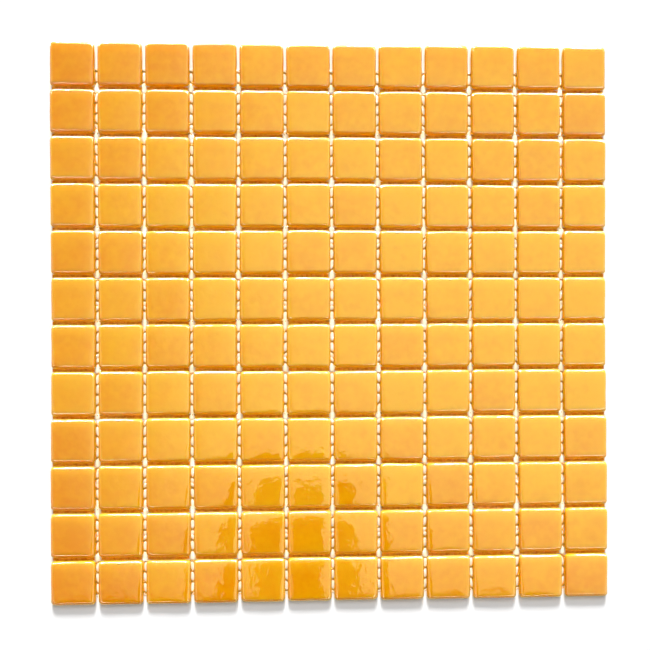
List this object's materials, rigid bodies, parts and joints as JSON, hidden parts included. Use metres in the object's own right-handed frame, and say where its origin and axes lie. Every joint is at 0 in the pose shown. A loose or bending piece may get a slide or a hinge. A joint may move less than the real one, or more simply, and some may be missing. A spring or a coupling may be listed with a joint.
{
  "type": "mosaic tile sheet",
  "caption": "Square sheet of small glossy amber glass mosaic tiles, glued to a white open yarn mesh that spaces them for laying.",
  "frame": {"origin": "under the middle of the sheet, on the underside of the backing mesh, where the sheet meets the surface it is laid on", "axes": "+Z out of the tiles' glossy faces, +Y towards the top edge of the sheet as pictured, +X to the right along the rows"},
  "size_m": [0.3202, 0.32, 0.0045],
  "materials": {
    "amber_glass": "opaque amber vitreous glass, fire-polished and glossy, slightly wavy",
    "backing_mesh": "white open leno yarn mesh, stiffened with adhesive"
  },
  "bodies": {
    "root": {"tile_row_01": "amber_glass", "tile_row_02": "amber_glass", "tile_row_03": "amber_glass", "tile_row_04": "amber_glass", "tile_row_05": "amber_glass", "tile_row_06": "amber_glass", "tile_row_07": "amber_glass", "tile_row_08": "amber_glass", "tile_row_09": "amber_glass", "tile_row_10": "amber_glass", "tile_row_11": "amber_glass", "tile_row_12": "amber_glass", "backing_mesh_1": "backing_mesh", "backing_mesh_2": "backing_mesh", "backing_mesh_3": "backing_mesh", "backing_mesh_4": "backing_mesh", "backing_mesh_5": "backing_mesh", "backing_mesh_6": "backing_mesh", "backing_mesh_7": "backing_mesh", "backing_mesh_8": "backing_mesh", "backing_mesh_9": "backing_mesh"}
  },
  "joints": []
}
